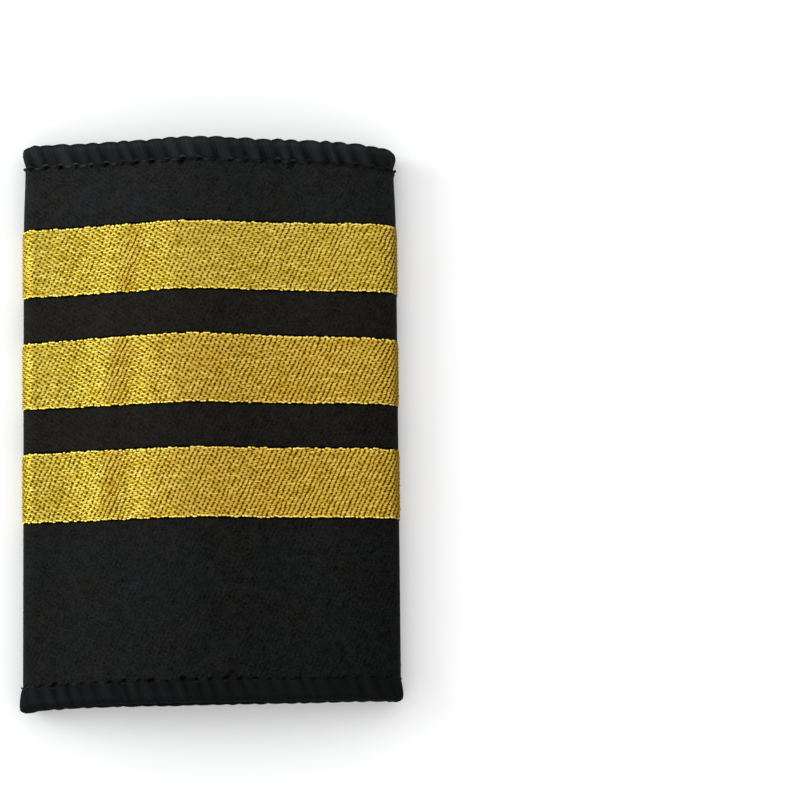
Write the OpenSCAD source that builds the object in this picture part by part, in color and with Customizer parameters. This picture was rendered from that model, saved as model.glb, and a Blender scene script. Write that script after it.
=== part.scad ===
// Soft shoulder slide: a flattened cloth sleeve that slips over a shoulder strap. Three metallic
// bars run right round it, and each open end is bound with a wound thread edge.
// The sleeve lies on its back. +Y points to the barred end and +Z out of the front.

/* [Sleeve] */
// Length of the cloth between its two cut ends
sleeve_length = 97.8; // [88:0.2:120]
// Width across the side folds at the plain end
plain_end_width = 65.2; // [56:0.2:76]
// Width across the side folds at the barred end
barred_end_width = 66.4; // [56:0.2:76]
// Thickness of the cloth wall
cloth = 1.9; // [1.6:0.1:2.6]
// Free height inside the left side fold
left_fold_gap = 1.4; // [1.2:0.1:3]
// Free height inside the right side fold
right_fold_gap = 2.2; // [1.2:0.1:3]
// Angle at which the front rises out of the left side fold
left_lean = 6; // [2:1:12]
// Angle at which the front drops into the right side fold
right_lean = 14; // [6:1:22]
// Rise of the soft ridge along the front above the side folds
ridge_rise = 6; // [4:0.1:9]

/* [Bars] */
// Width of one bar along the sleeve
bar_width = 12; // [6:0.5:15]
// Plain cloth between two bars
bar_gap = 8; // [4:0.5:13]
// Plain cloth from the barred end's cut edge to the first bar
first_bar_inset = 14.5; // [8:0.5:22]
// Thickness of a bar
bar_thickness = 1; // [0.8:0.05:1.2]
// Height of a bar above the cloth beside it
bar_stand = 0.15; // [0.05:0.05:0.3]

/* [Thread edges] */
// Reach of the thread from the cut end onto the cloth
thread_reach = 3.6; // [2.6:0.1:6]
// Thickness of the thread layer on the outside of the cloth
thread_layer = 0.8; // [0.6:0.05:1.1]
// Height of the outside thread layer above the cloth beside it
thread_stand = 0.45; // [0.3:0.05:0.7]
// Height of the inside thread layer above the cloth beside it
thread_stand_inside = 0.3; // [0.1:0.05:0.4]
// Thickness of the thread past the cut end
thread_rim = 0.7; // [0.5:0.05:1.2]
// Distance from one stitch to the next round the edge
stitch_pitch = 2.8; // [2:0.1:4]
// Height of a stitch's rib above the hollow beside it
stitch_rib = 0.24; // [0.1:0.02:0.4]
// How far a stitch's loop stands past the hollow beside it at the rim
stitch_scallop = 0.5; // [0.2:0.05:0.8]

/* [Cut and seats] */
// Rise of the barred end's cut from its right side to its left side
barred_end_slant = 1.3; // [0:0.1:3]
// Rise of the bars from their left side to their right side
bar_slant = -0.4; // [-2:0.1:2]
// Rise of the plain end's cut from its left side to its right side
plain_end_slant = 0.2; // [-2:0.1:2]
// Drop of the barred end's right corner and of the plain end's left corner
corner_drop = 0.6; // [0:0.1:1.5]
// Gap between the cloth and what is seated in it
seat_gap = 0.07; // [0.05:0.01:0.1]

/* [Hidden] */

// Height of the front above the side folds, a row for each place across it from the left fold to
// the right one, as a share of its width. The heights are shares of ridge_rise.
FRONT = [
    // across, plain_end, bars, barred_end
    [0.00, 0.00, 0.00, 0.00],
    [0.07, 0.11, 0.06, 0.09],
    [0.16, 0.42, 0.28, 0.26],
    [0.25, 0.70, 0.56, 0.48],
    [0.30, 0.79, 0.67, 0.60],
    [0.39, 0.95, 0.96, 0.88],
    [0.46, 0.98, 1.00, 1.04],
    [0.53, 0.91, 0.92, 0.97],
    [0.62, 0.74, 0.64, 0.78],
    [0.72, 0.57, 0.47, 0.63],
    [0.81, 0.43, 0.35, 0.50],
    [0.90, 0.29, 0.27, 0.34],
    [0.95, 0.18, 0.21, 0.23],
    [1.00, 0.00, 0.00, 0.00],
];
ACROSS = 0;
PLAIN_END = 1;
BARS = 2;
BARRED_END = 3;
// Half the stretch over which the front's heights are evened out, as a share of its width
EVEN_OUT = 0.045;
// Half the stretch over which the front's slope is read, as a share of its width
SLOPE_STEP = 0.01;
// Share of the width that a dropped corner takes
CORNER = 0.25;
// The angle that the front looks at, and from there to the back
UP = 90;
HALF_TURN = 180;

// The four stretches round the sleeve
LEFT_FOLD = 0;
FRONT_PANEL = 1;
RIGHT_FOLD = 2;
BACK_PANEL = 3;
// Facets along each stretch of the sleeve and the bars
FOLD_STEPS = 7;
FRONT_STEPS = 26;
BACK_STEPS = 7;
// Bars round the sleeve, from the barred end
BAR_COUNT = 3;
// Facets along each stitch of a thread edge
STITCH_STEPS = 4;

left_r = cloth + left_fold_gap / 2;
right_r = cloth + right_fold_gap / 2;
back_z = thread_stand + stitch_rib / 2;
plain_cut = -sleeve_length / 2;
barred_cut = sleeve_length / 2;
mean_width = (plain_end_width + barred_end_width) / 2;

bar_seat = bar_thickness + seat_gap - bar_stand;
bar_pitch = bar_width + bar_gap;
bars_high = barred_cut - first_bar_inset;
bars_low = bars_high - BAR_COUNT * bar_width - (BAR_COUNT - 1) * bar_gap;

thread_seat = thread_layer + seat_gap - thread_stand;

function mix(a, b, t) = a + (b - a) * t;

function arc_length(r, angle) = PI * r * angle / HALF_TURN;

// Length of each stretch at the middle of the sleeve
stretch_lengths = [
    arc_length(left_r, HALF_TURN - left_lean),
    mean_width - left_r - right_r + 2 * ridge_rise ^ 2 / mean_width,
    arc_length(right_r, HALF_TURN - right_lean),
    mean_width - left_r - right_r,
];
round_length = stretch_lengths * [1, 1, 1, 1];
stitch_count = round(round_length / stitch_pitch);

function column(c) = [for (row = FRONT) [row[ACROSS], row[c]]];

function even_height(across, c) =
    let (w = min(EVEN_OUT, across, 1 - across), pairs = column(c))
    (lookup(across - w, pairs) + 2 * lookup(across, pairs) + lookup(across + w, pairs)) / 4;

// From -1 at the plain end through 0 along the bars to 1 at the barred end
function end_share(y) = lookup(y, [[plain_cut, -1], [bars_low, 0], [bars_high, 0], [barred_cut, 1]]);

function front_height(across, y) =
    let (e = end_share(y), bars = even_height(across, BARS))
    let (end = even_height(across, e < 0 ? PLAIN_END : BARRED_END))
    ridge_rise * mix(bars, end, abs(e));

function width_at(y) = mix(plain_end_width, barred_end_width, (y - plain_cut) / sleeve_length);

// A point of the front's outer face, as [x, z]
function front_point(across, y) =
    let (half = width_at(y) / 2)
    let (x0 = -half + left_r * (1 - sin(left_lean)), z0 = left_r * (1 + cos(left_lean)))
    let (x1 = half - right_r * (1 - sin(right_lean)), z1 = right_r * (1 + cos(right_lean)))
    [mix(x0, x1, across), back_z + mix(z0, z1, across) + front_height(across, y)];

// A point of the sleeve's outer face at a place [stretch, share of it], as [x, z, the angle it faces]
function outer_face(place, y) =
    let (stretch = place[0], t = place[1], half = width_at(y) / 2)
    stretch == LEFT_FOLD ? fold_point(-half + left_r, left_r, mix(UP + HALF_TURN, UP + left_lean, t)) :
    stretch == RIGHT_FOLD ? fold_point(half - right_r, right_r, mix(UP - right_lean, UP - HALF_TURN, t)) :
    stretch == BACK_PANEL ? [mix(half - right_r, -half + left_r, t), back_z, UP + HALF_TURN] :
    let (before = front_point(max(t - SLOPE_STEP, 0), y), after = front_point(min(t + SLOPE_STEP, 1), y))
    let (p = front_point(t, y), step = after - before)
    [p.x, p.y, UP + atan2(step.y, step.x)];

function fold_point(x, r, a) = [x + r * cos(a), back_z + r + r * sin(a), a];

// Slant of a line across the sleeve and the drop of its end corners
function lengthwise(across, y) =
    let (slants = [[plain_cut, plain_end_slant], [bars_low, bar_slant], [bars_high, bar_slant],
                   [barred_cut, -barred_end_slant]])
    let (right = max(0, 1 - (1 - across) / CORNER), left = max(0, 1 - across / CORNER), e = end_share(y))
    y + lookup(y, slants) * (across - 0.5) - corner_drop * (e > 0 ? right ^ 2 : left ^ 2) * abs(e);

// The point at a place round the sleeve and a place y along it, standing d out of the outer face
function skin(place, y, d) =
    let (f = outer_face(place, y), across = f.x / width_at(y) + 0.5)
    [f.x + d * cos(f.z), lengthwise(across, y), f.y + d * sin(f.z)];

// Places round the sleeve, in even steps along each stretch
function steps(stretch, n) = [for (i = [0:n - 1]) [stretch, i / n]];
places = concat(steps(LEFT_FOLD, FOLD_STEPS), steps(FRONT_PANEL, FRONT_STEPS),
                steps(RIGHT_FOLD, FOLD_STEPS), steps(BACK_PANEL, BACK_STEPS));

// The place that lies this far round the sleeve
function place_at(far, stretch = 0) =
    stretch == BACK_PANEL || far < stretch_lengths[stretch]
        ? [stretch, far / stretch_lengths[stretch]]
        : place_at(far - stretch_lengths[stretch], stretch + 1);

// A closed outline of [y, d] points carried round the sleeve, one outline for each place
module carried_round(round_places, outlines) {
    n = len(round_places);
    m = len(outlines[0]);
    points = [for (i = [0:n - 1]) for (q = outlines[i]) skin(round_places[i], q[0], q[1])];
    faces = [for (i = [0:n - 1]) for (j = [0:m - 1])
        let (i2 = (i + 1) % n, j2 = (j + 1) % m)
        let (a = i * m + j, b = i * m + j2, c = i2 * m + j2, d = i2 * m + j)
        each [[a, b, c], [a, c, d]]];
    polyhedron(points, faces);
}

// Outline points along the outer face, from the plain end to the barred end
function bar_edges(i) = let (high = bars_high - i * bar_pitch) [high - bar_width, high];
function seat_points(low, high, depth) = [
    [low - seat_gap, 0],
    [low - seat_gap, -depth],
    [high + seat_gap, -depth],
    [high + seat_gap, 0],
];

module sleeve() {
    low_step = plain_cut + thread_reach + seat_gap;
    high_step = barred_cut - thread_reach - seat_gap;
    plain_third = (bars_low - low_step) / 3;
    outside = concat(
        [[plain_cut, -thread_seat], [low_step, -thread_seat], [low_step, 0]],
        [[low_step + plain_third, 0], [low_step + 2 * plain_third, 0]],
        [for (i = [BAR_COUNT - 1:-1:0]) each seat_points(bar_edges(i)[0], bar_edges(i)[1], bar_seat)],
        [[high_step, 0], [high_step, -thread_seat], [barred_cut, -thread_seat]]
    );
    seat_inside = -cloth + thread_seat;
    inside = concat(
        [[barred_cut, seat_inside], [high_step, seat_inside], [high_step, -cloth]],
        [for (k = [0:BAR_COUNT]) [mix(bars_high, bars_low, k / BAR_COUNT), -cloth]],
        [[low_step + 1.5 * plain_third, -cloth], [low_step, -cloth], [low_step, seat_inside]],
        [[plain_cut, seat_inside]]
    );
    outline = concat(outside, inside);
    // The block below cuts nothing away: it leaves the back's facets joined into whole flat faces
    color("#222426") intersection() {
        carried_round(places, [for (p = places) outline]);
        translate([-mean_width, -sleeve_length, 0]) cube([2 * mean_width, 2 * sleeve_length, mean_width]);
    }
}

module bar(i) {
    low = bar_edges(i)[0];
    high = bar_edges(i)[1];
    floor = bar_stand - bar_thickness;
    outline = [[low, floor], [low, bar_stand], [high, bar_stand], [high, floor]];
    color("#bda23b") carried_round(places, [for (p = places) outline]);
}

// A thread edge round the cut end at this place along the sleeve. Outward is 1 at the barred end and
// -1 at the plain end.
module overlock(cut, outward) {
    foot = -thread_reach;
    seat = -thread_seat + seat_gap;
    seat_inside = -cloth + thread_seat - seat_gap;
    face_inside = -cloth - thread_stand_inside;
    middle = -cloth / 2;
    // The outline, as [past the cut end, d, share of the rib, share of the scallop, lag in stitches]
    edge = [
        [foot, seat, 0, 0, 0],
        [foot, 0.6 * thread_stand, 0.5, 0, 0],
        [0.3 * foot, thread_stand, 0.5, 0, 0.3],
        [0.7 * thread_rim, 0.4 * seat, 0, 0.7, 0.6],
        [thread_rim - stitch_scallop / 2, middle, 0, 1, 0.6],
        [0, face_inside, -0.3, 0, 0.8],
        [foot, face_inside, 0, 0, 0],
        [foot, seat_inside, 0, 0, 0],
        [seat_gap, seat_inside, 0, 0, 0],
        [seat_gap, seat, 0, 0, 0],
    ];
    n = stitch_count * STITCH_STEPS;
    round_places = [for (k = [0:n - 1]) place_at(k * round_length / n)];
    outlines = [for (k = [0:n - 1]) [for (q = edge)
        let (wave = cos(360 * (k / STITCH_STEPS - q[4])))
        [cut + outward * (q[0] + q[3] * stitch_scallop / 2 * wave), q[1] + q[2] * stitch_rib * wave]]];
    turned = outward > 0 ? outlines : [for (o = outlines) [for (j = [len(o) - 1:-1:0]) o[j]]];
    color("#1c1d1f") carried_round(round_places, turned);
}

module bar_top() bar(0);
module bar_middle() bar(1);
module bar_bottom() bar(2);
module overlock_top() overlock(barred_cut, 1);
module overlock_bottom() overlock(plain_cut, -1);

sleeve();
bar_top();
bar_middle();
bar_bottom();
overlock_top();
overlock_bottom();
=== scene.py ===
"""Looks of the soft shoulder slide: black satin sleeve, three woven gold bars, wound thread edges.

Lengths are millimetres in the frame of the solids, and meshes are made in metres. Object coordinates
in the materials are metres too. A place on the sleeve is its distance round the outer face (up the
left fold, over the front, down the right fold and back along the underside) and its y.
"""

import math

import bmesh
import bpy
import numpy as np
from mathutils import Matrix, Vector


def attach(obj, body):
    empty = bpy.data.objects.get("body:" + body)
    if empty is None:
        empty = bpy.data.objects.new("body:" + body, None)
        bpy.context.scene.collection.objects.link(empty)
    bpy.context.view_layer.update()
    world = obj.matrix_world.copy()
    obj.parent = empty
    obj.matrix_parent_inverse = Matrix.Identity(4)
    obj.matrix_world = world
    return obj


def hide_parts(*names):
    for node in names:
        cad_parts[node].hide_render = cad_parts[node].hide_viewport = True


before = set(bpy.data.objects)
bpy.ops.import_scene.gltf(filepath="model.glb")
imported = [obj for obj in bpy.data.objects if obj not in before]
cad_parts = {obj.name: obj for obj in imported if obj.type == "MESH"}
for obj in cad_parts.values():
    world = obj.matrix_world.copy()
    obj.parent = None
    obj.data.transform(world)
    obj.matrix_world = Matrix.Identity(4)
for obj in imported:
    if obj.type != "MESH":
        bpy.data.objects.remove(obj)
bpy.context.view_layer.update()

MM = 0.001

# Sleeve. Each fold's arc stops short of a half turn by its lean, in degrees.
SLEEVE_LENGTH = 97.8
PLAIN_END_WIDTH = 65.2
BARRED_END_WIDTH = 66.4
MEAN_WIDTH = 65.8
CLOTH = 1.9
LEFT_FOLD_R = 2.6
RIGHT_FOLD_R = 3.0
LEFT_LEAN = 6
RIGHT_LEAN = 14
RIDGE_RISE = 6
PLAIN_CUT = -SLEEVE_LENGTH / 2
BARRED_CUT = SLEEVE_LENGTH / 2
BACK_Z = 0.57

# Bars. Floors and faces are measured out of the sleeve's face.
BAR_WIDTH = 12
BAR_GAP = 8
BAR_PITCH = BAR_WIDTH + BAR_GAP
BARS_FROM_CUT = 14.5
BARS_HIGH = BARRED_CUT - BARS_FROM_CUT
BARS_LOW = BARS_HIGH - 3 * BAR_WIDTH - 2 * BAR_GAP
BAR_NAMES = ["bar_top", "bar_middle", "bar_bottom"]
BAR_FLOOR = -0.85
BAR_FACE = 0.02
BAR_CORNER = 0.06
SEAT_GAP = 0.07
SEAT_FLOOR = -0.92

# Thread edges. The cloth under them is thinner by the seat on each side.
REACH = 3.6
THREAD_SEAT = 0.42
SEAT_SHORT = 0.5

# Slants and corners
PLAIN_END_SLANT = 0.2
BAR_SLANT = -0.4
BARRED_END_SLANT = 1.3
CORNER_DROP = 0.6

# Height of the front above the side folds, as shares of the ridge's rise
FRONT = np.array([
    # across, plain end, bars, barred end
    [0.00, 0.00, 0.00, 0.00],
    [0.07, 0.11, 0.06, 0.09],
    [0.16, 0.42, 0.28, 0.26],
    [0.25, 0.70, 0.56, 0.48],
    [0.30, 0.79, 0.67, 0.60],
    [0.39, 0.95, 0.96, 0.88],
    [0.46, 0.98, 1.00, 1.04],
    [0.53, 0.91, 0.92, 0.97],
    [0.62, 0.74, 0.64, 0.78],
    [0.72, 0.57, 0.47, 0.63],
    [0.81, 0.43, 0.35, 0.50],
    [0.90, 0.29, 0.27, 0.34],
    [0.95, 0.18, 0.21, 0.23],
    [1.00, 0.00, 0.00, 0.00],
])
FRONT_PLACES = 401
SMOOTHING = 0.07

# Slack of the cloth, too slight for the solids: waves and a dent left of the ridge, a nip in the
# width and a bow in the middle bar's upper edge. Each pair of lists is places and the values there.
# Places are mm along or shares of the way across.
WAVE_MIDDLE = [-12, 8, 28], [0.322, 0.342, 0.38]
WAVE_HEIGHT = [8, 28], [0.23, 0.15]
WAVE_ENDS = [PLAIN_CUT + 6, -24, 30, BARRED_CUT - 6], [0, 1, 1, 0]
WAVE_LENGTH = 0.19
WAVE_SPREAD = 0.1
DENT = 0.13
DENT_MIDDLE = 0.378
DENT_SPREAD = 0.03
STEEPEST_WAVE = 8
NIP = 0.28
NIP_MIDDLE = 45
NIP_SPREAD = 6
BOW = [0, 0.25, 0.5, 1], [0.45, 0.03, 0.03, 0.6]
BOW_SPREAD = 5

# Camera
SENSOR = 36
LENS = 114.3
CAMERA_RISE = math.radians(80.2)
CAMERA_TURN = math.radians(1.02)
CAMERA_AIM = Vector((33.3, 4.0, 0.0))
CAMERA_AWAY = 450


def set_camera():
    """A long lens almost above the slide, which lies left of the middle of the picture."""
    data = bpy.data.cameras.new("camera")
    data.sensor_width = SENSOR
    data.lens = LENS
    back = Vector((0, -math.cos(CAMERA_RISE), math.sin(CAMERA_RISE)))
    level = Vector((1, 0, 0))
    up = Vector((0, math.sin(CAMERA_RISE), math.cos(CAMERA_RISE)))
    right = math.cos(CAMERA_TURN) * level - math.sin(CAMERA_TURN) * up
    top = math.sin(CAMERA_TURN) * level + math.cos(CAMERA_TURN) * up
    place = Matrix((right, top, back)).transposed().to_4x4()
    place.translation = CAMERA_AIM * MM + back * CAMERA_AWAY * MM
    camera = bpy.data.objects.new("camera", data)
    camera.matrix_world = place
    bpy.context.scene.collection.objects.link(camera)
    bpy.context.scene.camera = camera


set_camera()


# Form of the sleeve

def smooth_columns():
    """The front's three columns at even places across, evened out into soft curves."""
    across = np.linspace(0, 1, FRONT_PLACES)
    reach = np.minimum(SMOOTHING, np.minimum(across, 1 - across))
    weights = np.array([1, 2, 3, 4, 5, 4, 3, 2, 1]) / 25
    steps = np.linspace(-1, 1, len(weights))
    columns = []
    for column in FRONT.T[1:]:
        near = [w * np.interp(across + s * reach, FRONT[:, 0], column) for w, s in zip(weights, steps)]
        columns.append(sum(near))
    return across, columns


ACROSS, COLUMNS = smooth_columns()

# Lengths of the left fold, the front, the right fold and the back
STRETCHES = np.array([
    math.radians(180 - LEFT_LEAN) * LEFT_FOLD_R,
    MEAN_WIDTH - LEFT_FOLD_R - RIGHT_FOLD_R + 2 * RIDGE_RISE ** 2 / MEAN_WIDTH,
    math.radians(180 - RIGHT_LEAN) * RIGHT_FOLD_R,
    MEAN_WIDTH - LEFT_FOLD_R - RIGHT_FOLD_R,
])
STARTS = np.concatenate([[0], np.cumsum(STRETCHES)])
ROUND = STARTS[-1]

# The share of the front's width over which its slope is taken
STEP = 0.01


def mound(place, middle, spread):
    """1 at the middle, falling softly to 0 on both sides."""
    return np.exp(-((place - middle) / spread) ** 2)


def end_share(y):
    """0 along the bars, going to -1 at the plain end and to 1 at the barred end."""
    return np.interp(y, [PLAIN_CUT, BARS_LOW, BARS_HIGH, BARRED_CUT], [-1, 0, 0, 1])


def soft_wave(across, y):
    """The low slanting waves left of the ridge, and the dent beside them."""
    off = across - np.interp(y, *WAVE_MIDDLE)
    wave = np.interp(y, *WAVE_HEIGHT) * np.sin(off * 2 * math.pi / WAVE_LENGTH)
    wave = wave * mound(off, -WAVE_LENGTH / 2, WAVE_SPREAD)
    dent = DENT * mound(across, DENT_MIDDLE, DENT_SPREAD)
    return (wave - dent) * np.interp(y, *WAVE_ENDS)


def wave_turn(far, y):
    """How far the waves turn the face to the right at a place, from about -1 to 1."""
    across = np.clip((far - STARTS[1]) / STRETCHES[1], 0, 1)
    return (soft_wave(across - STEP, y) - soft_wave(across + STEP, y)) / (2 * STEP) / STEEPEST_WAVE


def front_height(across, y):
    """Height of the front above the line between the two folds."""
    e = end_share(y)
    plain, bars, barred = (np.interp(across, ACROSS, c) for c in COLUMNS)
    share = np.abs(e) ** 2 * (3 - 2 * np.abs(e))
    end = np.where(e < 0, plain, barred)
    return RIDGE_RISE * (bars + (end - bars) * share) + soft_wave(across, y)


def half_width(y):
    even = PLAIN_END_WIDTH + (BARRED_END_WIDTH - PLAIN_END_WIDTH) * (y - PLAIN_CUT) / SLEEVE_LENGTH
    return even / 2 - NIP * mound(y, NIP_MIDDLE, NIP_SPREAD)


def front_point(t, y):
    """x and z of the front's face, from t = 0 at the left fold to 1 at the right one."""
    half = half_width(y)
    low, high = math.radians(LEFT_LEAN), math.radians(RIGHT_LEAN)
    x0, z0 = -half + LEFT_FOLD_R * (1 - math.sin(low)), LEFT_FOLD_R * (1 + math.cos(low))
    x1, z1 = half - RIGHT_FOLD_R * (1 - math.sin(high)), RIGHT_FOLD_R * (1 + math.cos(high))
    return x0 + (x1 - x0) * t, BACK_Z + z0 + (z1 - z0) * t + front_height(t, y)


def outer_face(far, y):
    """x, z and the angle faced, at a distance far round the sleeve and a place y along it."""
    far = np.mod(far, ROUND)
    stretch = np.clip(np.searchsorted(STARTS, far, side="right") - 1, 0, 3)
    t = (far - STARTS[stretch]) / STRETCHES[stretch]
    half = half_width(y)
    left = np.radians(270 - t * (180 - LEFT_LEAN))
    right = np.radians(90 - RIGHT_LEAN - t * (180 - RIGHT_LEAN))
    front_x, front_z = front_point(t, y)
    before_x, before_z = front_point(np.maximum(t - STEP, 0), y)
    after_x, after_z = front_point(np.minimum(t + STEP, 1), y)
    front = math.pi / 2 + np.arctan2(after_z - before_z, after_x - before_x)
    cases = [stretch == 0, stretch == 1, stretch == 2]
    left_x, left_z = -half + LEFT_FOLD_R * (1 + np.cos(left)), BACK_Z + LEFT_FOLD_R * (1 + np.sin(left))
    right_x, right_z = half - RIGHT_FOLD_R * (1 - np.cos(right)), BACK_Z + RIGHT_FOLD_R * (1 + np.sin(right))
    back_x = (half - RIGHT_FOLD_R) * (1 - t) + (LEFT_FOLD_R - half) * t
    x = np.select(cases, [left_x, front_x, right_x], back_x)
    z = np.select(cases, [left_z, front_z, right_z], BACK_Z)
    return x, z, np.select(cases, [left, front, right], 1.5 * math.pi)


def lengthwise(across, y):
    """Where y comes to lie, with the lines' slant, the end corners' drop and the middle bar's bow."""
    slant = np.interp(y, [PLAIN_CUT, BARS_LOW, BARS_HIGH, BARRED_CUT],
                      [PLAIN_END_SLANT, BAR_SLANT, BAR_SLANT, -BARRED_END_SLANT])
    e = end_share(y)
    corner = np.where(e > 0, np.maximum(0, 4 * across - 3), np.maximum(0, 1 - 4 * across))
    bow = np.interp(across, *BOW) * mound(y, BARS_HIGH - BAR_PITCH, BOW_SPREAD)
    return y + slant * (across - 0.5) - CORNER_DROP * corner ** 2 * np.abs(e) - bow


def skin(far, y, d):
    """Points that stand d out of the outer face, in metres."""
    far, y, d = np.broadcast_arrays(np.asarray(far, float), np.asarray(y, float), np.asarray(d, float))
    x, z, angle = outer_face(far, y)
    across = x / (2 * half_width(y)) + 0.5
    points = np.stack([x + d * np.cos(angle), lengthwise(across, y), z + d * np.sin(angle)], axis=-1)
    return points * MM


def round_places(fold_steps, front_steps, back_steps):
    """Distances round the sleeve, in even steps along each stretch."""
    counts = [fold_steps, front_steps, fold_steps, back_steps]
    return np.concatenate([STARTS[i] + STRETCHES[i] * np.arange(n) / n for i, n in enumerate(counts)])


# Meshes

SHARP = math.radians(40)


def add_piece(name, points, faces, materials):
    mesh = bpy.data.meshes.new(name)
    mesh.from_pydata(points.tolist(), [], faces.tolist() if hasattr(faces, "tolist") else faces)
    for material in materials:
        mesh.materials.append(material)
    return add_object(name, mesh)


def add_object(name, mesh):
    made = bpy.data.objects.new(name, mesh)
    bpy.context.scene.collection.objects.link(made)
    return made


def ring_piece(name, places, outline, materials, zero=0):
    """A closed outline of (y, d) points carried round the sleeve. The outline may differ at each place.

    The map "weave" holds mm round and mm along, which counts from y = zero.
    """
    outline = np.array(outline)
    n, m = len(places), outline.shape[-2]
    outline = np.broadcast_to(outline, (n, m, 2))
    points = skin(places[:, None], outline[..., 0], outline[..., 1]).reshape(-1, 3)
    i, j = np.meshgrid(np.arange(n), np.arange(m), indexing="ij")
    i2, j2 = (i + 1) % n, (j + 1) % m
    faces = np.stack([i * m + j, i2 * m + j, i2 * m + j2, i * m + j2], axis=-1).reshape(-1, 4)
    piece = add_piece(name, points, faces, materials)
    mesh = piece.data
    ends = np.append(places, ROUND)
    along = outline.mean(axis=0)[:, 0] - zero
    u = np.stack([ends[i], ends[i + 1], ends[i + 1], ends[i]], axis=-1)
    v = np.stack([along[j], along[j], along[j2], along[j2]], axis=-1)
    add_weave_map(mesh, u.ravel(), v.ravel())
    turn_outwards(mesh)
    mesh.shade_smooth()
    mesh.set_sharp_from_angle(angle=SHARP)
    return piece


def add_weave_map(mesh, u, v):
    weave = mesh.uv_layers.new(name="weave")
    weave.data.foreach_set("uv", np.stack([u, v], axis=-1).astype(np.float32).ravel())


def store(mesh, label, values):
    """Keeps a number or a direction at each point of a mesh, for the materials and trees to read."""
    kind, key = ("FLOAT", "value") if values.ndim == 1 else ("FLOAT_VECTOR", "vector")
    layer = mesh.attributes.new(label, kind, "POINT")
    layer.data.foreach_set(key, values.astype(np.float32).ravel())


def turn_outwards(mesh):
    work = bmesh.new()
    work.from_mesh(mesh)
    bmesh.ops.recalc_face_normals(work, faces=work.faces)
    work.to_mesh(mesh)
    work.free()


def merged(name, pieces):
    """Several pieces joined into one that has each material once."""
    work = bmesh.new()
    materials = []
    for piece in pieces:
        mesh = piece.data
        slots = []
        for material in mesh.materials:
            if material not in materials:
                materials.append(material)
            slots.append(materials.index(material))
        index = np.zeros(len(mesh.polygons), np.int32)
        mesh.polygons.foreach_get("material_index", index)
        mesh.polygons.foreach_set("material_index", np.array(slots, np.int32)[index])
        work.from_mesh(mesh)
    mesh = bpy.data.meshes.new(name)
    work.to_mesh(mesh)
    work.free()
    for material in materials:
        mesh.materials.append(material)
    for piece in pieces:
        bpy.data.objects.remove(piece)
    return add_object(name, mesh)


# Node trees

class Part:
    """One value in a node tree. Arithmetic on it adds Math nodes."""

    def __init__(self, tree, socket=None):
        self.tree = tree
        self.socket = socket

    def node(self, kind, settings=None, sockets=None, out=0):
        """Any other node: its settings are set first, then the values or links of its sockets."""
        made = self.tree.nodes.new(kind)
        for name, value in (settings or {}).items():
            setattr(made, name, value)
        for name, value in (sockets or {}).items():
            if isinstance(value, Part):
                self.tree.links.new(value.socket, made.inputs[name])
            else:
                made.inputs[name].default_value = value
        return Part(self.tree, made.outputs[out])

    def maths(self, operation, *others):
        return self.node("ShaderNodeMath", {"operation": operation}, dict(enumerate([self, *others])))

    def __add__(self, other):
        return self.maths("ADD", other)

    __radd__ = __add__

    def __sub__(self, other):
        return self.maths("SUBTRACT", other)

    def __rsub__(self, other):
        return self.node("ShaderNodeMath", {"operation": "SUBTRACT"}, {0: other, 1: self})

    def __mul__(self, other):
        return self.maths("MULTIPLY", other)

    __rmul__ = __mul__

    def __truediv__(self, other):
        return self.maths("DIVIDE", other)

    def __pow__(self, other):
        return self.maths("POWER", other)


def xy_of(vector):
    """The first two of a vector's three numbers."""
    x = vector.node("ShaderNodeSeparateXYZ", {}, {0: vector})
    return x, Part(x.tree, x.socket.node.outputs[1])


def new_material(name, **constants):
    """A material with one shader, whose named sockets get these constants."""
    material = bpy.data.materials.new(name)
    material.use_nodes = True
    shader = material.node_tree.nodes["Principled BSDF"]
    for socket, value in constants.items():
        shader.inputs[socket.replace("_", " ")].default_value = value
    return material, Part(material.node_tree), shader


def feed(shader, name, value):
    value.tree.links.new(value.socket, shader.inputs[name])


def feed_bump(shader, height, distance, strength):
    sizes = {"Height": height, "Distance": distance, "Strength": strength}
    feed(shader, "Normal", height.node("ShaderNodeBump", {}, sizes))


def mix_colours(share, low, high):
    low, high = ((*c, 1) if isinstance(c, tuple) else c for c in (low, high))
    return share.node("ShaderNodeMix", {"data_type": "RGBA"}, {0: share, 6: low, 7: high}, out=2)


def tinted(tone, share, tint):
    """A tone multiplied by a tint, as far as share says."""
    veil = mix_colours(share, (1.0, 1.0, 1.0), tint)
    return tone.node("ShaderNodeVectorMath", {"operation": "MULTIPLY"}, {0: tone, 1: veil})


def between(value, low, high):
    """A smooth step from 0 to 1 as value goes from low to high."""
    smooth = {"interpolation_type": "SMOOTHSTEP"}
    return value.node("ShaderNodeMapRange", smooth, {0: value, 1: low, 2: high})


def noise(place, scale, detail):
    return place.node("ShaderNodeTexNoise", {}, {"Vector": place, "Scale": scale, "Detail": detail})


def object_place(part):
    return part.node("ShaderNodeTexCoord", out=3)


def stored(part, label):
    """A number that the mesh keeps at its points."""
    return part.node("ShaderNodeAttribute", {"attribute_name": label}, out=2)


# Materials

WARPS = 440
WARP = ROUND / WARPS
WEFTS = 54
WEFT = BAR_WIDTH / WEFTS
TOP_STITCHES = 50
LOW_STITCHES = 55
TOP_PITCH = ROUND / TOP_STITCHES
LOW_PITCH = ROUND / LOW_STITCHES
HOLE_INSET = 0.05
HOLE_TALL = 0.36
TOP_HOLE_WIDE = 0.5
LOW_HOLE_WIDE = 0.55
CHANNEL_DARK = 0.15
CHANNEL_LIGHT = 0.5
WIDENING = 0.006
FUZZ_DEPTH = 0.00004
GRAIN_DEPTH = 0.00002


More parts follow.
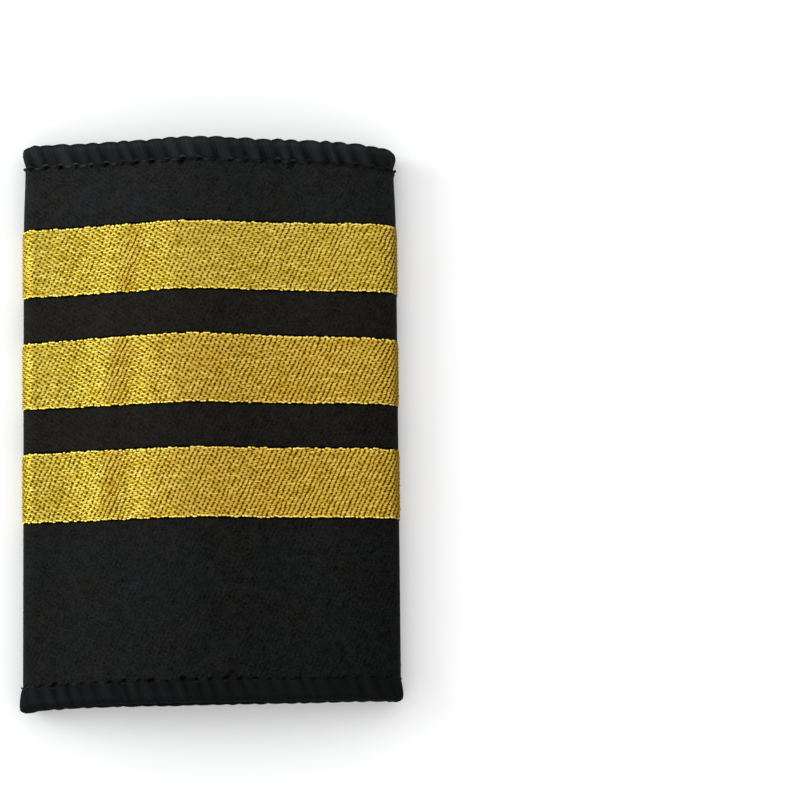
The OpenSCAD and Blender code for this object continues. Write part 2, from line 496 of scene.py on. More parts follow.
def weave_place(part):
    """Distance round and distance along, in mm, from a piece's own map."""
    return xy_of(part.node("ShaderNodeUVMap", {"uv_map": "weave"}))


def satin_lines(u, v, waver=0):
    """The eight-end satin's shallow and steep lines, from -1 to 1. Both are 1 where threads bind."""
    shallow = ((u + v) * (math.pi / 2)).maths("COSINE")
    steep = ((3 * u - v + waver) * (math.pi / 4)).maths("COSINE")
    return shallow, steep


def towards_right_fold(across, along, low, high):
    """A smooth step across the sleeve that keeps its distance from the right fold as the sleeve widens."""
    return between(across - WIDENING * along, low, high)


def needle_hole_shade(part, x, y):
    """Painted shade: 1 inside the small holes where the needle thread goes down, fainter to the right, 0
    elsewhere.
    """
    stray = noise(object_place(part), scale=350, detail=0) - 0.5
    faint = 0.85 - 0.4 * between(x, STARTS[1] + 20, STARTS[2])
    rows = []
    for cut, inward, pitch, wide in ((BARRED_CUT, -1, TOP_PITCH, TOP_HOLE_WIDE),
                                     (PLAIN_CUT, 1, LOW_PITCH, LOW_HOLE_WIDE)):
        dv = (y - (cut + inward * (REACH - HOLE_INSET)) + 0.6 * stray) / HOLE_TALL
        du = ((x / pitch).maths("FRACT") - 0.5) * (pitch / wide) - 0.5 * dv
        far = (du * du + dv * dv).maths("SQRT") * (1.05 + 2.2 * stray)
        rows.append((1 - between(far, 0.45, 1.35)) * faint)
    return rows[0].maths("MAXIMUM", rows[1])


def bar_channel_shade(y):
    """Painted shade: 1 in the bars' channels and close beside them, 0 on the open cloth."""
    reach = BAR_GAP / 2
    band = y.maths("MAXIMUM", BARS_LOW - reach).maths("MINIMUM", BARS_HIGH + reach)
    share = ((BARS_HIGH + reach - band) / BAR_PITCH).maths("FRACT")
    off = (share * BAR_PITCH - BAR_PITCH / 2).maths("ABSOLUTE")
    return 1 - between(off, BAR_WIDTH / 2 + CHANNEL_DARK, BAR_WIDTH / 2 + CHANNEL_LIGHT)


def black_satin():
    """Dull black cloth with a faint twill, painted light at the upper left, painted shade on the right and a
    painted warm reflection of the gold between the bars.
    """
    material, part, shader = new_material("black satin", Roughness=0.7, Specular_IOR_Level=0.05)
    x, y = weave_place(part)
    shallow, steep = satin_lines(x / WARP, y / WEFT)
    holes = needle_hole_shade(part, x, y)
    place = object_place(part)
    across, along = xy_of(place)
    fuzz = noise(place, scale=2600, detail=2)
    blotch = noise(place, scale=650, detail=1)
    cloud = noise(place, scale=110, detail=3)

    # The steep lines show more on the right and at the plain end
    lean = 0.25 + 0.45 * between(across, -0.02, 0.01) + 0.4 * between(y, 10, -15)
    lean = lean.maths("MINIMUM", 0.85)
    twill = shallow * (0.09 - 0.08 * lean) + steep * (0.005 + 0.075 * lean)

    # Painted light and shade: lighter towards the barred end and the left, painted shade on the right slope
    # and at the right fold; the grain's contrast grows with it
    painted_light = 0.25 + 0.26 * between(y, PLAIN_CUT, BARRED_CUT) + 0.2 * between(across, 0.036, -0.03)
    painted_light = painted_light + 0.05 * between(across, 0.008, 0.018) - 0.12 * between(across, 0.02, 0.032)
    painted_light = painted_light - 0.2 * towards_right_fold(across, along, 0.0315, 0.0329)
    grain = painted_light + (1.5 * (fuzz - 0.5) + 0.6 * (blotch - 0.5) - twill) * (0.55 + 0.9 * painted_light)

    deep = (0.0002, 0.0002, 0.0002)
    cool = mix_colours(grain, deep, (0.0128, 0.0154, 0.0156))
    warm = mix_colours(grain, deep, (0.0151, 0.0149, 0.0138))
    # Painted reflected light: a warm cast of the gold's light on the cloth between the bars
    gold_bounce_tone = mix_colours(grain, deep, (0.0144, 0.0129, 0.0096))
    gold_bounce_share = between(y, BARS_LOW - 5, BARS_LOW) * between(y, BARS_HIGH + 2, BARS_HIGH)
    tone = mix_colours(between(cloud, 0.35, 0.65), cool, warm)
    tone = mix_colours(gold_bounce_share * 0.85, tone, gold_bounce_tone)

    # Painted shade: the needle holes and the bars' channels are painted nearly black, and made metal so that
    # they reflect nothing and stay dark
    dark = holes.maths("MAXIMUM", bar_channel_shade(y))
    feed(shader, "Base Color", mix_colours(dark, tone, (0.0006, 0.0003, 0.0002)))
    feed(shader, "Metallic", dark)
    feed(shader, "Roughness", 0.6 + 0.2 * cloud)
    feed_bump(shader, 0.5 - 0.1 * shallow - 0.15 * steep + 0.8 * fuzz - 2 * holes, FUZZ_DEPTH, 0.6)
    return material


def gold(name, low, high, bind, roughness):
    """Metallic weft from low to high in tone, which goes to bind where the black warp holds it."""
    material, part, shader = new_material(name, Metallic=1.0, Roughness=roughness,
                                          Specular_Tint=(1.0, 0.8, 0.0, 1))
    x, y = weave_place(part)
    u, v = x / WARP, y / WEFT
    place = object_place(part)
    across, along = xy_of(place)
    waver = noise(place, scale=480, detail=1) - 0.5
    cloud = noise(place, scale=330, detail=2)
    speckle = noise(place, scale=1500, detail=2)
    shallow, steep = satin_lines(u, v, 7 * waver)
    level = ((u - 3 * v) * (math.pi / 4)).maths("COSINE")
    away = between(stored(part, "turn"), -0.1, 0.9)
    fold = towards_right_fold(across, along, 0.029, 0.0322)
    rim = towards_right_fold(across, along, 0.0313, 0.0329)

    # The steep lines show more on the right, at the plain end and where the waves turn away
    lean = 0.5 + 0.22 * between(across, -0.012, 0.02) + 0.08 * between(across, 0.026, 0.033)
    lean = lean + 0.06 * between(along, 0.02, -0.02)
    lean = lean + 0.28 * away + 0.3 * fold + 0.8 * (cloud - 0.5)
    lean = lean.maths("MAXIMUM", 0.2).maths("MINIMUM", 0.9)
    net = shallow * (1 - lean) + 1.1 * steep * lean * (1 + 0.5 * fold) - 0.25 * level * (1 - fold)
    net = net + 2.2 * (speckle - 0.5)

    # More gold and less black shows towards the barred end, on the right and at the far left
    right = between(across, -0.02, 0.002)
    lower = between(along, 0.023, 0.013)
    left = between(across, -0.023, -0.03) * between(along, -0.01, 0.02)
    net = net - 0.1 * right * (1 - lower) - 0.16 * left

    tone = mix_colours(stored(part, "shade") * 0.6 + cloud * 0.4, low, high)
    # Painted shade: warmer and darker on the right, most on the lower bars, and where the waves turn away
    # from the light
    tone = tinted(tone, (right * (0.4 + 0.6 * lower)).maths("MAXIMUM", 0.85 * away), (0.98, 0.86, 0.85))
    # Painted shade: the gold turns dark at the right fold's outermost edge
    tone = tinted(tone, rim, (0.42, 0.40, 0.9))
    feed(shader, "Base Color", mix_colours(between(net, -0.3, 1.0), tone, bind))
    feed_bump(shader, noise(place, scale=9000, detail=1), GRAIN_DEPTH, 0.4)
    return material


def black_thread():
    """Dull black thread, with light and shade painted in where its stored shade says."""
    material, part, shader = new_material("black thread", Roughness=0.85, Specular_IOR_Level=0.06)
    x, y = weave_place(part)
    holes = needle_hole_shade(part, x, y)
    place = object_place(part)
    cloud = noise(place, scale=300, detail=2)
    shade = stored(part, "shade") * (0.6 + 0.8 * cloud)
    tone = mix_colours(shade, (0.0012, 0.0014, 0.0016), (0.029, 0.0315, 0.033))
    # Painted shade in the needle holes: nearly black metal that reflects nothing
    feed(shader, "Base Color", mix_colours(holes, tone, (0.0003, 0.0003, 0.0003)))
    feed(shader, "Metallic", holes)
    feed_bump(shader, noise(place, scale=7000, detail=2), FUZZ_DEPTH, 0.6)
    return material


BLACK_SATIN = black_satin()
GOLD_THREAD = gold("gold thread", low=(0.66, 0.45, 0.006), high=(1.0, 0.90, 0.22),
                   bind=(0.20, 0.10, 0.0), roughness=0.36)
BAR_GROUND = gold("gold ground", low=(0.30, 0.19, 0.008), high=(0.44, 0.29, 0.012),
                  bind=(0.03, 0.015, 0.0), roughness=0.5)
BLACK_THREAD = black_thread()


# Geometry trees

FLOAT_RINGS = 7
FLOAT_SIDES = 6
SAME_POINT = 0.000002
TILT_SEED = 7


def new_tree(name, inputs):
    """A geometry tree with named inputs, and its starting parts by name."""
    tree = bpy.data.node_groups.new(name, "GeometryNodeTree")
    tree.interface.new_socket("Geometry", in_out="INPUT", socket_type="NodeSocketGeometry")
    for label, kind in inputs.items():
        tree.interface.new_socket(label, in_out="INPUT", socket_type=kind)
    tree.interface.new_socket("Geometry", in_out="OUTPUT", socket_type="NodeSocketGeometry")
    entry = tree.nodes.new("NodeGroupInput")
    return tree, {socket.name: Part(tree, socket) for socket in entry.outputs if socket.name}


def end_tree(tree, geometry, material):
    real = geometry.node("GeometryNodeRealizeInstances", {}, {0: geometry})
    dressed = real.node("GeometryNodeSetMaterial", {}, {"Geometry": real, "Material": material})
    out = tree.nodes.new("NodeGroupOutput")
    tree.links.new(dressed.socket, out.inputs[0])


def point_value(part, label, kind="FLOAT"):
    """What the points of the tree's own mesh keep under a name."""
    return part.node("GeometryNodeInputNamedAttribute", {"data_type": kind}, {"Name": label})


def scaled(part, vector, by):
    return part.node("ShaderNodeVectorMath", {"operation": "SCALE"}, {0: vector, "Scale": by})


def shaded_smooth(part):
    return part.node("GeometryNodeSetShadeSmooth", {}, {"Geometry": part, "Shade Smooth": True})


def grown(piece, tree, values):
    """The plain mesh that a geometry tree makes of a piece, which takes the piece's place."""
    modifier = piece.modifiers.new("tree", "NODES")
    modifier.node_group = tree
    for item in tree.interface.items_tree:
        if item.in_out == "INPUT" and item.name in values:
            modifier[item.identifier] = values[item.name]
    bpy.context.view_layer.update()
    graph = bpy.context.evaluated_depsgraph_get()
    mesh = bpy.data.meshes.new_from_object(piece.evaluated_get(graph))
    name = piece.name
    bpy.data.objects.remove(piece)
    mesh.name = name
    return add_object(name, mesh)


def float_tree():
    """Puts one gold float on every point: a flat spindle with its ends tucked down, laid along the weft."""
    tree, given = new_tree("gold floats", {
        "Length": "NodeSocketFloat", "Width": "NodeSocketFloat", "Height": "NodeSocketFloat",
        "Tuck": "NodeSocketFloat", "Tilt": "NodeSocketFloat", "Material": "NodeSocketMaterial",
    })
    part = Part(tree)
    grid = part.node("GeometryNodeMeshGrid", {}, {"Size X": 1, "Size Y": 1, "Vertices X": FLOAT_RINGS,
                                                  "Vertices Y": FLOAT_SIDES})
    u, v = xy_of(part.node("GeometryNodeInputPosition"))
    lengthways = (u * math.pi).maths("SINE")
    girth = (u * math.pi).maths("COSINE").maths("MAXIMUM", 0) ** 0.75
    x = lengthways * given["Length"] / 2
    y = (v * 2 * math.pi).maths("COSINE") * girth * given["Width"] / 2
    z = (v * -2 * math.pi).maths("SINE") * girth * given["Height"] / 2
    z = z - lengthways * lengthways * given["Tuck"]
    spot = part.node("ShaderNodeCombineXYZ", {}, {0: x, 1: y, 2: z})
    shaped = part.node("GeometryNodeSetPosition", {}, {"Geometry": grid, "Position": spot})
    closed_up = part.node("GeometryNodeMergeByDistance", {}, {"Geometry": shaped, "Distance": SAME_POINT})

    out, along, size = (point_value(part, label, "FLOAT_VECTOR") for label in ("out", "along", "size"))
    upright = part.node("FunctionNodeAlignRotationToVector", {"axis": "Z"}, {"Vector": out})
    laid = part.node("FunctionNodeAlignRotationToVector", {"axis": "X", "pivot_axis": "Z"},
                     {"Rotation": upright, "Vector": along})
    least = scaled(part, (-1.0, -0.5, -0.25), given["Tilt"])
    most = scaled(part, (1.0, 0.5, 0.25), given["Tilt"])
    chance = part.node("FunctionNodeRandomValue", {"data_type": "FLOAT_VECTOR"},
                       {0: least, 1: most, "Seed": TILT_SEED})
    lean = part.node("FunctionNodeEulerToRotation", {}, {0: chance})
    turned = part.node("FunctionNodeRotateRotation", {"rotation_space": "LOCAL"}, {0: laid, 1: lean})
    placed = part.node("GeometryNodeInstanceOnPoints", {}, {
        "Points": given["Geometry"], "Instance": shaded_smooth(closed_up), "Rotation": turned, "Scale": size,
    })
    end_tree(tree, placed, given["Material"])
    return tree


def strand_tree():
    """Turns each line of points into a closed round strand as thick as its points say."""
    tree, given = new_tree("strands", {"Sides": "NodeSocketInt", "Material": "NodeSocketMaterial"})
    part = Part(tree)
    lines = part.node("GeometryNodeMeshToCurve", {}, {"Mesh": given["Geometry"]})
    ring = part.node("GeometryNodeCurvePrimitiveCircle", {}, {"Resolution": given["Sides"], "Radius": 1})
    swept = part.node("GeometryNodeCurveToMesh", {}, {
        "Curve": lines, "Profile Curve": ring, "Scale": point_value(part, "thick"), "Fill Caps": True,
    })
    end_tree(tree, shaded_smooth(swept), given["Material"])
    return tree


FLOATS = float_tree()
STRANDS = strand_tree()


# Sleeve

FINE_STEP = 1.2
COARSE_STEP = 2


def steps_between(low, high, step):
    count = max(1, round(abs(high - low) / step))
    return list(np.linspace(low, high, count + 1)[:-1])


def run(low, high, depth, step=FINE_STEP):
    """Outline points from low to high, both included, at one distance out of the face."""
    return [(y, depth) for y in steps_between(low, high, step)] + [(high, depth)]


def make_sleeve():
    """The cloth tube, with the bars' channels and the thinned ends."""
    low_step = PLAIN_CUT + REACH - SEAT_SHORT
    high_step = BARRED_CUT - REACH + SEAT_SHORT
    inner_seat = -CLOTH + THREAD_SEAT
    outline = run(PLAIN_CUT, low_step, -THREAD_SEAT)
    start = low_step
    for i in (2, 1, 0):
        high = BARS_HIGH - i * BAR_PITCH
        low = high - BAR_WIDTH
        outline += run(start, low - SEAT_GAP, 0)
        outline += run(low - SEAT_GAP, high + SEAT_GAP, SEAT_FLOOR, COARSE_STEP)
        start = high + SEAT_GAP
    outline += run(start, high_step, 0)
    outline += run(high_step, BARRED_CUT, -THREAD_SEAT)
    outline += [(BARRED_CUT, inner_seat), (high_step, inner_seat)]
    outline += run(high_step, low_step, -CLOTH, COARSE_STEP)
    outline += [(low_step, inner_seat), (PLAIN_CUT, inner_seat)]
    return ring_piece("satin_sleeve", round_places(28, 170, 60), outline, [BLACK_SATIN])


# Bars. The weave is an eight-end satin: each row's floats start three warps further on.
SATIN = 8
MOVE = 3
FLOAT_LENGTH = 7.8 * WARP
FLOAT_WIDTH = 1.25 * WEFT
FLOAT_HEIGHT = 0.15
FLOAT_TUCK = 0.07
FLOAT_TILT = 0.1
FLOAT_LIFT = 0.055
BEAD_LIFT = 0.03
BEAD_INSET = 0.15
BAR_SEED = 11


def float_places(chance, low):
    """A bar's gold floats and the small beads along its edges: mm round, mm along, length, width, shade."""
    row = np.arange(1, WEFTS - 1)
    start = (MOVE * row) % SATIN
    a_row = WARPS // SATIN
    far = ((start[:, None] + SATIN * np.arange(a_row)[None, :] + SATIN // 2) * WARP).ravel()
    y = np.repeat(low + (row + 0.5) * WEFT, a_row)
    n = len(y)
    floats = np.stack([far + chance.normal(0, 0.03, n), y + chance.normal(0, 0.012, n),
                       chance.normal(1, 0.03, n), chance.normal(1, 0.06, n), chance.uniform(0, 1, n)])
    groups = [floats]
    for edge, inward in ((low, 1), (low + BAR_WIDTH, -1)):
        n = WARPS // 2
        far = (np.arange(n) + chance.uniform(-0.25, 0.25, n)) * WARP * 2
        y = edge + inward * (BEAD_INSET + chance.uniform(-0.2, 0.08, n))
        groups.append(np.stack([far, y, chance.uniform(0.2, 0.34, n), chance.uniform(1.2, 1.8, n),
                                chance.uniform(0.5, 1.3, n)]))
    return np.concatenate(groups, axis=1), len(floats[0])


def make_ground(name, low, high, zero):
    """The woven band under a bar's floats, in the bar's channel."""
    shoulder = BAR_FACE - BAR_CORNER
    face = [(y, BAR_FACE) for y in np.linspace(low + BAR_CORNER, high - BAR_CORNER, 8)]
    outline = [(low, shoulder)] + face + [(high, shoulder), (high, BAR_FLOOR), (low, BAR_FLOOR)]
    return ring_piece(name, round_places(24, 120, 50), outline, [BAR_GROUND], zero)


def unit(vectors):
    return vectors / np.linalg.norm(vectors, axis=1, keepdims=True)


def make_bar(index):
    """One gold bar: floats in satin order over the ground, each with its own place on the weave's map."""
    name = BAR_NAMES[index]
    high = BARS_HIGH - index * BAR_PITCH
    low = high - BAR_WIDTH
    zero = low + 0.5 * WEFT
    ground = make_ground(name + "_ground", low, high, zero)

    chance = np.random.default_rng(BAR_SEED + index)
    (far, y, longer, wider, shade), woven = float_places(chance, low)
    lift = FLOAT_LIFT + chance.normal(0, 0.01, len(y)) + np.where(np.arange(len(y)) < woven, 0, BEAD_LIFT)
    points = skin(far, y, lift)
    along = unit(skin(far + 0.3, y, lift) - skin(far - 0.3, y, lift))
    out = unit(skin(far, y, lift + 1) - points)
    seeds = add_piece(name, points, [], [])
    store(seeds.data, "along", along)
    store(seeds.data, "out", out)
    store(seeds.data, "size", np.stack([longer, wider, np.ones(len(y))], axis=-1))
    store(seeds.data, "shade", shade)
    store(seeds.data, "turn", wave_turn(far, y))
    floats = grown(seeds, FLOATS, {
        "Length": FLOAT_LENGTH * MM, "Width": FLOAT_WIDTH * MM, "Height": FLOAT_HEIGHT * MM,
        "Tuck": FLOAT_TUCK * MM, "Tilt": FLOAT_TILT, "Material": GOLD_THREAD,
    })

    spots = np.zeros(len(floats.data.vertices) * 3, np.float32)
    floats.data.vertices.foreach_get("co", spots)
    spots = spots.reshape(len(y), -1, 3) - points[:, None, :]
    u = far[:, None] + (spots * along[:, None, :]).sum(axis=-1) / MM
    v = y[:, None] + (spots * np.cross(out, along)[:, None, :]).sum(axis=-1) / MM - zero

    # All beads take one bright place of the weave
    u[woven:], v[woven:] = 2 * WARP, 0.5 * WEFT
    corner = np.zeros(len(floats.data.loops), np.int32)
    floats.data.loops.foreach_get("vertex_index", corner)
    add_weave_map(floats.data, u.ravel()[corner], v.ravel()[corner])
    return merged("gold_" + name, [ground, floats])


# Thread edges. A place on a roll is s, which counts stitches round the sleeve, and t, which goes
# from the roll's foot outside (0) over the rim (0.5) to its foot inside (1).
ROLL_WAY = np.array([
    # t, past the cut, height
    [0.00, -3.75, -0.22],
    [0.06, -3.50, 0.05],
    [0.12, -3.10, 0.22],
    [0.18, -2.55, 0.34],
    [0.27, -1.60, 0.40],
    [0.37, -0.55, 0.30],
    [0.44, 0.25, 0.02],
    [0.50, 0.62, -0.80],
    [0.56, 0.35, -1.65],
    [0.63, -0.40, -2.02],
    [0.75, -1.60, -2.10],
    [0.90, -3.00, -2.06],
    [1.00, -3.60, -1.95],
])

# How much of each effect shows along t
SCALLOPED = [0, 0.3, 0.5, 0.7, 1], [0, 0.25, 1, 0.25, 0]
DOMED = [0, 0.1, 0.3, 0.5, 0.8, 1], [0.1, 0.8, 1, 0.8, 0.6, 0.1]
PULLED = [0, 0.06, 0.15, 0.27, 0.37], [0, 1, 1, 0.5, 0]
SQUARED = [0.15, 0.27, 0.37, 0.44, 0.5, 0.56], [0, 0.1, 0.5, 1, 1, 0]

# The cloth's end inside a roll, as distance past the cut and out of the face
ROLL_HOLLOW = np.array([(-REACH + 0.6, -1.55), (0.07, -1.5), (0.07, -0.4), (-REACH + 0.6, -0.36)])

# The outermost place of each fold, where a roll turns its corner
FOLD_SIDES = 0.517 * STRETCHES[0], STARTS[2] + 0.458 * STRETCHES[2]
SOFT_CORNER = 3
TIGHT_CORNER = 1.9
HIGHEST = 0.47
CELL_SLANT = 1.4
YARNS_A_CELL = 4
YARN_PROUD = 0.018
RIM_THREAD = 0.11
LOOSE_THREAD = 0.1
STRAND_SIDES = 5


class WoundEdge:
    """The surface of one thread edge: a soft roll round the cut edge, pinched into uneven cells."""

    def __init__(self, cut, outward, stitches, look, chance):
        self.cut = cut
        self.outward = outward
        self.stitches = stitches
        self.look = look
        self.pitch = ROUND / stitches
        self.slant = CELL_SLANT * outward
        pinches = np.arange(stitches) + chance.uniform(-0.2, 0.2, stitches)
        self.pinches = np.append(pinches, pinches[0] + stitches)
        self.swell = chance.uniform(0.65, 1, stitches)
        self.depth = chance.uniform(0.4, 1, stitches)

    def far(self, s):
        return np.mod(s, self.stitches) * self.pitch

    def fullness(self, s, t):
        """How far the roll stands at a place: low in a pinch, up to 1 in the middle of a cell."""
        first = self.pinches[0]
        s = np.mod(s + self.slant * (t - 0.5) - first, self.stitches) + first
        k = np.clip(np.searchsorted(self.pinches, s, side="right") - 1, 0, self.stitches - 1)
        after = (k + 1) % self.stitches
        share = np.clip((s - self.pinches[k]) / (self.pinches[k + 1] - self.pinches[k]), 0, 1) ** 1.2
        arch = np.sin(math.pi * share)
        beside = np.where(share < 0.5, self.swell[k - 1], self.swell[after])
        level = self.swell[k] + 0.5 * (beside - self.swell[k]) * (1 - arch)
        pinch = self.depth[k] + (self.depth[after] - self.depth[k]) * share
        return level * (1 - pinch * (1 - arch ** 0.7))

    def at_corners(self, key, mounds):
        """A look's amount for the left corner and for the right one, fading away from each."""
        return sum(amount * near for amount, near in zip(self.look[key], mounds))

    def surface(self, s, t, proud=0):
        """y, distance out of the face and fullness at a place on the roll, or a little proud of it."""
        past = np.interp(t, ROLL_WAY[:, 0], ROLL_WAY[:, 1])
        height = np.interp(t, ROLL_WAY[:, 0], ROLL_WAY[:, 2])
        scallop = np.interp(t, *SCALLOPED)
        full = self.fullness(s, t)
        near = [mound(self.far(s), side, SOFT_CORNER) for side in FOLD_SIDES]
        tight = [mound(self.far(s), side, TIGHT_CORNER) for side in FOLD_SIDES]
        calm = 1 - 0.7 * sum(near)
        longer = self.look["longer"] - self.at_corners("rounding", near)
        past = past + scallop * (self.look["scallop"] * calm * (full - 0.8) + longer)
        d = height + np.interp(t, *DOMED) * self.look["relief"] * calm * (full - 0.9)
        d = d + proud * np.cos(math.pi * np.clip(t, 0, 1))
        d = d - self.at_corners("pulled", tight) * np.interp(t, *PULLED)
        d = d + self.at_corners("square", tight) * np.interp(t, *SQUARED)
        y = self.cut + self.outward * (past + proud * scallop)
        return y, np.minimum(d, HIGHEST + proud * 0.5), full

    def tone(self, s, t, full):
        """Painted light and shade: lighter along the cells, a painted highlight line inside the rim, painted
        shade in the pinches, on the rim and fading to the right.
        """
        line = np.interp(t, [0, 0.1, 0.3, 0.36, 0.405, 0.44, 0.47],
                         [0.8, 1, 1, 1.1, self.look["line"], 0.6, 0])
        dim = 1 - self.look["fade"] * np.interp(self.far(s), [STARTS[1], STARTS[2]], [0, 1])
        pinched = (1 - full ** 2) * np.interp(t, [0.2, 0.38], [1, 0.5])
        return self.look["tone"] * dim * line * (1 - pinched)


def closed(values):
    """Values round a ring, with the first one again at the end."""
    return np.concatenate([values, values[:1]])


def roll_piece(edge, name):
    """The roll itself, closed round the end of the cloth."""
    s = np.arange(edge.stitches * 12) / 12
    t = np.linspace(0, 1, 27)
    y, d, full = edge.surface(s[:, None], t[None, :])
    hollow = np.stack([edge.cut + edge.outward * ROLL_HOLLOW[:, 0], ROLL_HOLLOW[:, 1]], axis=-1)
    hollow = np.broadcast_to(hollow, (len(s), *hollow.shape))
    outline = np.concatenate([np.stack([y, d], axis=-1), hollow], axis=1)
    roll = ring_piece(name, s * edge.pitch, outline, [BLACK_THREAD])
    # The roll's painted light and shade, kept at its points
    tone = edge.tone(s[:, None], t[None, :], full)
    shade = np.concatenate([tone, np.zeros((len(s), len(ROLL_HOLLOW)))], axis=1)
    store(roll.data, "shade", shade.ravel())
    return roll


def yarn_lines(edge, chance):
    """The single yarns over the roll, sunk into it so that only their backs show."""
    lines = []
    for k in range(edge.stitches):
        for m in range(YARNS_A_CELL):
            t = np.linspace(0.04, chance.uniform(0.85, 1), 20)
            share = (m + 0.5) / YARNS_A_CELL + chance.normal(0, 0.05) + chance.normal(0, 0.2) * (t - 0.5)
            share = 0.5 + (np.clip(share, 0.12, 0.88) - 0.5) * np.interp(t, [0, 0.16], [0.5, 1])
            s = edge.pinches[k] + share * (edge.pinches[k + 1] - edge.pinches[k]) - edge.slant * (t - 0.5)
            thick = chance.uniform(0.18, 0.28)
            y, d, full = edge.surface(s, t, YARN_PROUD - thick)
            # The yarns take the roll's painted light and shade
            shade = edge.tone(s, t, full) * chance.uniform(0.85, 1.15)
            lines.append((skin(s * edge.pitch, y, d), thick * MM, shade))
    return lines


def rim_lines(edge):
    """The two threads that cross and cross again along the rim."""
    s = np.arange(edge.stitches * 8) / 8
    lines = []
    for turn in (0.0, 0.5):
        wave = np.sin(2 * math.pi * (s + turn))
        y, d, _ = edge.surface(s, 0.5 + 0.05 * wave, -0.1)
        # The rim's threads take the darkest tone, painted shade along the rim
        lines.append((closed(skin(s * edge.pitch, y, d)), RIM_THREAD * MM, 0.0))
    return lines


def needle_line(edge, chance):
    """The needle thread's row of small uneven loops along the roll's foot."""
    knots = np.arange(edge.stitches * 2)
    n = len(knots)
    over = np.where(knots % 2 == 1, 0.55, 0.12) + chance.normal(0, 0.09, n)
    rise = edge.look["needle"] * chance.uniform(0.6, 1, n)
    thick = chance.uniform(0.17, 0.29, n)
    # Painted highlights on the needle loops, brightest at their crests and fading to the right
    gleam = chance.uniform(0.1, 1, n) * np.interp(knots * edge.pitch / 2, [STARTS[1], STARTS[2]], [1, 0.3])
    s = np.arange(edge.stitches * 16) / 16
    arch = np.abs(np.cos(2 * math.pi * s))
    ease = np.floor(2 * s) + (1 - np.cos(math.pi * np.mod(2 * s, 1))) / 2
    over, rise, thick, gleam = (np.interp(ease, np.arange(n + 1), closed(values))
                                for values in (over, rise, thick, gleam))
    ring = skin(s * edge.pitch, edge.cut + edge.outward * (over - REACH), rise * (0.4 + 0.6 * arch) - 0.12)
    thick = thick * (0.5 + 0.5 * arch) * MM
    gleam = gleam * (0.3 + 0.7 * arch) * edge.look["gleam"]
    return closed(ring), closed(thick), closed(gleam)


def strands_piece(name, lines):
    """Strands from (points, thickness, shade) lines, where the last two may differ along a line."""
    points = np.concatenate([p for p, _, _ in lines])
    thick = np.concatenate([np.full(len(p), t) for p, t, _ in lines])
    shade = np.concatenate([np.full(len(p), s) for p, _, s in lines])
    edges, start = [], 0
    for p, _, _ in lines:
        edges += [(start + k, start + k + 1) for k in range(len(p) - 1)]
        start += len(p)
    mesh = bpy.data.meshes.new(name)
    mesh.from_pydata(points.tolist(), edges, [])
    store(mesh, "thick", thick)
    store(mesh, "shade", shade)
    return grown(add_object(name, mesh), STRANDS, {"Sides": STRAND_SIDES, "Material": BLACK_THREAD})


def make_edge(name, cut, outward, stitches, seed, look, loose=()):
    """One wound thread edge: the roll, its yarns, the rim's threads, the needle line and any loose loop."""
    chance = np.random.default_rng(seed)
    edge = WoundEdge(cut, outward, stitches, look, chance)
    roll = roll_piece(edge, name + "_roll")
    lines = yarn_lines(edge, chance) + rim_lines(edge) + [needle_line(edge, chance)]
    for far, past, d in loose:
        points = skin(np.array(far), cut + outward * np.array(past), np.array(d))
        lines.append((points, LOOSE_THREAD * MM, 0.8))
    return merged(name, [roll, strands_piece(name, lines)])


# How each edge looks. Forms in mm: the rim's scallops, the cells' relief, how much longer the rim
# reaches, its corners rounded, pulled in or squared (left, right) and the needle loops' height.
# Painted light and shade: the roll's lightness, the painted highlight line inside the rim, the needle loops'
# painted highlights and how far painted shade dims the roll to the right.
TOP_LOOK = {
    "scallop": 0.42, "relief": 0.3, "longer": 0.28,
    "rounding": (0.1, 0.1), "pulled": (0.45, 0.6), "square": (0.05, -0.15), "needle": 0.42,
    "tone": 0.54, "line": 1.6, "gleam": 1.3, "fade": 0.15,
}
LOW_LOOK = {
    "scallop": 0.25, "relief": 0.14, "longer": -0.25,
    "rounding": (-0.25, -0.25), "pulled": (0.0, 0.2), "square": (0.35, 0.1), "needle": 0.2,
    "tone": 0.3, "line": 0.4, "gleam": 0.5, "fade": 0.6,
}

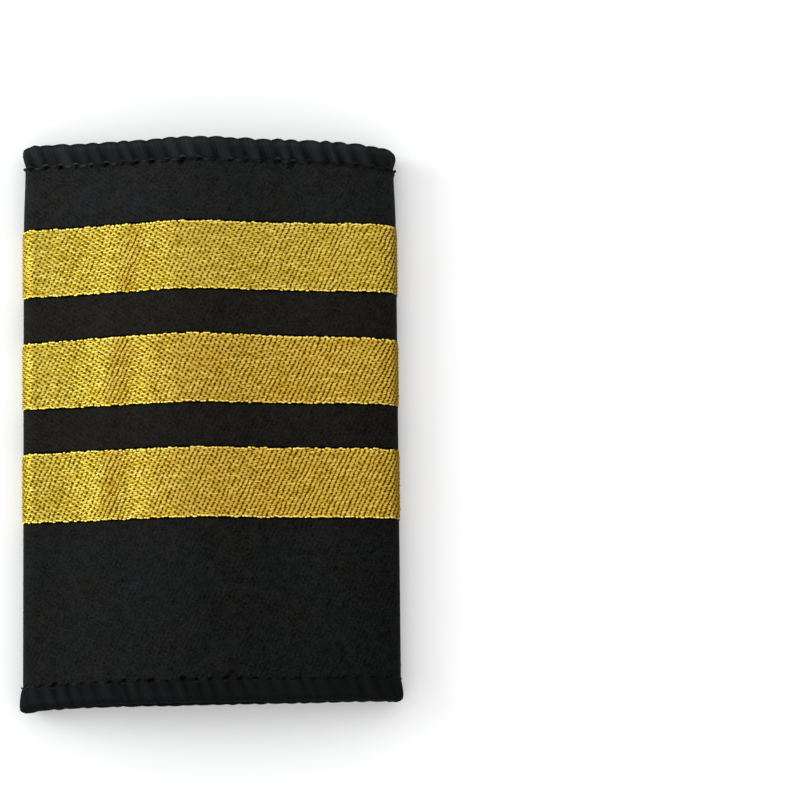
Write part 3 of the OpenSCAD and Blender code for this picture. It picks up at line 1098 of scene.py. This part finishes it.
# A loose loop by the left corner: distances round, past the cut and out of the face
LOOSE_LOOP = ([4.6, 5.2, 6.0, 6.6, 7.2], [-3.75, -3.5, -3.25, -3.5, -3.8], [0.3, 0.35, 0.35, 0.35, 0.3])

sleeve = make_sleeve()
bars = [make_bar(i) for i in range(len(BAR_NAMES))]
top_edge = make_edge("wound_edge_top", BARRED_CUT, 1, TOP_STITCHES, 3, TOP_LOOK)
low_edge = make_edge("wound_edge_bottom", PLAIN_CUT, -1, LOW_STITCHES, 5, LOW_LOOK, [LOOSE_LOOP])

for piece, node, slot in ([(sleeve, "sleeve", "cloth"), (top_edge, "overlock_top", "thread"),
                           (low_edge, "overlock_bottom", "thread")]
                          + [(bar, node, "bar") for bar, node in zip(bars, BAR_NAMES)]):
    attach(piece, "root")
    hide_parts(node)


# Floor and light, in metres

FLOOR_HALF = 3.0
SKY = 1.05


def make_floor():
    corners = [(-1, -1, 0), (1, -1, 0), (1, 1, 0), (-1, 1, 0)]
    material, _, _ = new_material("pale floor", Base_Color=(0.92, 0.92, 0.92, 1), Roughness=0.9,
                                  Specular_IOR_Level=0.1)
    floor = add_piece("floor", FLOOR_HALF * np.array(corners, float), [(0, 1, 2, 3)], [material])


def add_light(name, place, size, power, colour):
    """A square soft light that faces the origin."""
    data = bpy.data.lights.new(name, "AREA")
    data.shape = "SQUARE"
    data.size = size
    data.energy = power
    data.color = colour
    light = bpy.data.objects.new(name, data)
    place = Vector(place)
    light.location = place
    light.rotation_mode = "QUATERNION"
    light.rotation_quaternion = place.to_track_quat("Z", "Y")
    bpy.context.scene.collection.objects.link(light)


def light_scene():
    world = bpy.data.worlds.new("studio")
    world.use_nodes = True
    backdrop = world.node_tree.nodes["Background"]
    backdrop.inputs["Color"].default_value = (1, 1, 1, 1)
    backdrop.inputs["Strength"].default_value = SKY
    bpy.context.scene.world = world
    add_light("window", place=(-0.9, 0.25, 0.45), size=0.5, power=4.25, colour=(0.93, 1.0, 0.99))
    bpy.context.scene.view_settings.view_transform = "Standard"


make_floor()
light_scene()
